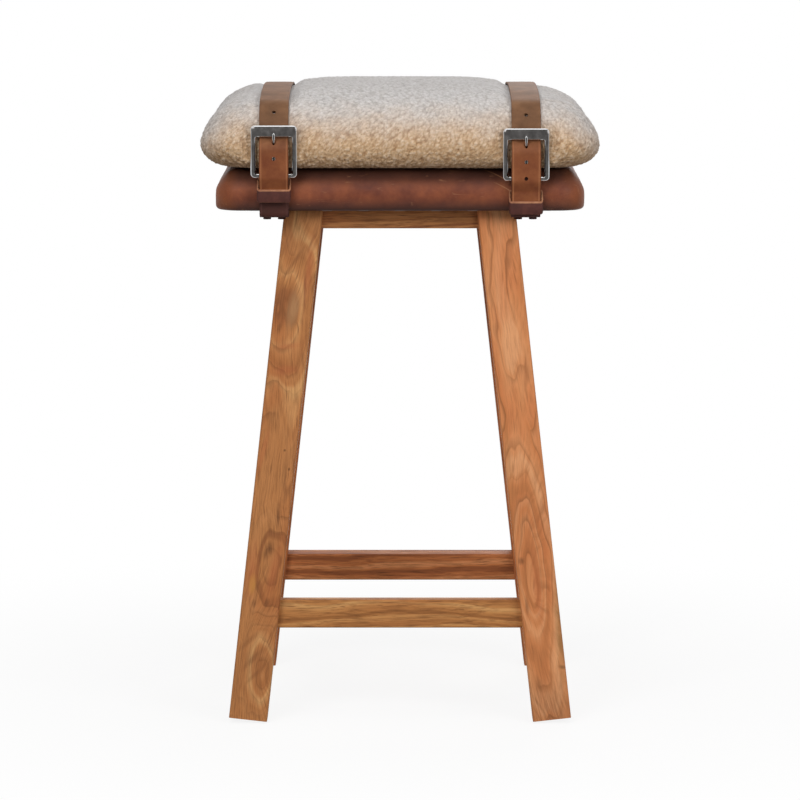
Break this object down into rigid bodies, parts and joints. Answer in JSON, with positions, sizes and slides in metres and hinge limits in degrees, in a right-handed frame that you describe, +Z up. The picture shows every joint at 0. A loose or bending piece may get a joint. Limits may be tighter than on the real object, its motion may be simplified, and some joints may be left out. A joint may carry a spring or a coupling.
{
  "type": "bar stool",
  "caption": "Backless bar stool: splayed wooden legs joined by rungs, a leather covered seat, and a curly fleece cushion held down by buckled leather straps.",
  "frame": {"origin": "middle of the stool's footprint, on the floor", "axes": "+Z up, the front with the buckles faces -Y, +X to the viewer's right"},
  "size_m": [0.413, 0.34, 0.6597],
  "materials": {
    "leg_wood": "oiled, warm honey brown with darker streaks",
    "rung_wood": "oiled, warm honey brown",
    "apron_wood": "oiled, darker brown",
    "block_wood": "bare sawn wood",
    "plywood": "bare plywood",
    "foam": "open foam",
    "seat_leather": "waxed, dark red brown",
    "boucle": "curly woollen boucle",
    "fibre_filling": "loose fibre",
    "strap_leather": "matt, olive brown, burnished edges",
    "lower_strap_leather": "matt, dark maroon",
    "keeper_leather": "matt, dark maroon with pale raw edges",
    "buckle_metal": "polished nickel",
    "rivet_steel": "plain",
    "screw_steel": "blackened",
    "staple_steel": "galvanised"
  },
  "bodies": {
    "stool": {"front_left_leg": "leg_wood", "front_right_leg": "leg_wood", "rear_left_leg": "leg_wood", "rear_right_leg": "leg_wood", "front_rung": "rung_wood", "rear_rung": "rung_wood", "left_rung": "rung_wood", "right_rung": "rung_wood", "front_apron": "apron_wood", "rear_apron": "apron_wood", "left_apron": "apron_wood", "right_apron": "apron_wood", "corner_blocks": "block_wood", "corner_block_screws": "screw_steel", "seat_board": "plywood", "seat_foam": "foam", "seat_cover": "seat_leather", "cover_staples": "staple_steel", "cushion_cover": "boucle", "cushion_filling": "fibre_filling", "left_long_strap": "strap_leather", "left_buckle_strap": "lower_strap_leather", "left_chape_rivets": "rivet_steel", "left_strap_screws": "screw_steel", "right_long_strap": "strap_leather", "right_buckle_strap": "lower_strap_leather", "right_chape_rivets": "rivet_steel", "right_strap_screws": "screw_steel"},
    "left_keeper": {"left_keeper": "keeper_leather"},
    "left_buckle": {"left_buckle_frame": "buckle_metal"},
    "left_prong": {"left_buckle_prong": "buckle_metal"},
    "right_keeper": {"right_keeper": "keeper_leather"},
    "right_buckle": {"right_buckle_frame": "buckle_metal"},
    "right_prong": {"right_buckle_prong": "buckle_metal"}
  },
  "joints": [
    {"name": "left_keeper_slide", "type": "slide", "parent": "stool", "child": "left_keeper", "axis": [0, 0, 1], "range_m": [-0.012, 0]},
    {"name": "left_buckle_hinge", "type": "hinge", "parent": "stool", "child": "left_buckle", "pos_m": [-0.1288, -0.15965, 0.5687], "axis": [1, 0, 0], "range_deg": [0, 1.2]},
    {"name": "left_prong_hinge", "type": "hinge", "parent": "left_buckle", "child": "left_prong", "pos_m": [-0.1288, -0.15965, 0.5687], "axis": [1, 0, 0], "range_deg": [0, 0.8]},
    {"name": "right_keeper_slide", "type": "slide", "parent": "stool", "child": "right_keeper", "axis": [0, 0, 1], "range_m": [0, 0.01]},
    {"name": "right_buckle_hinge", "type": "hinge", "parent": "stool", "child": "right_buckle", "pos_m": [0.1288, -0.15965, 0.5657], "axis": [1, 0, 0], "range_deg": [0, 1.2]},
    {"name": "right_prong_hinge", "type": "hinge", "parent": "right_buckle", "child": "right_prong", "pos_m": [0.1288, -0.15965, 0.5657], "axis": [1, 0, 0], "range_deg": [0, 0.8]}
  ]
}
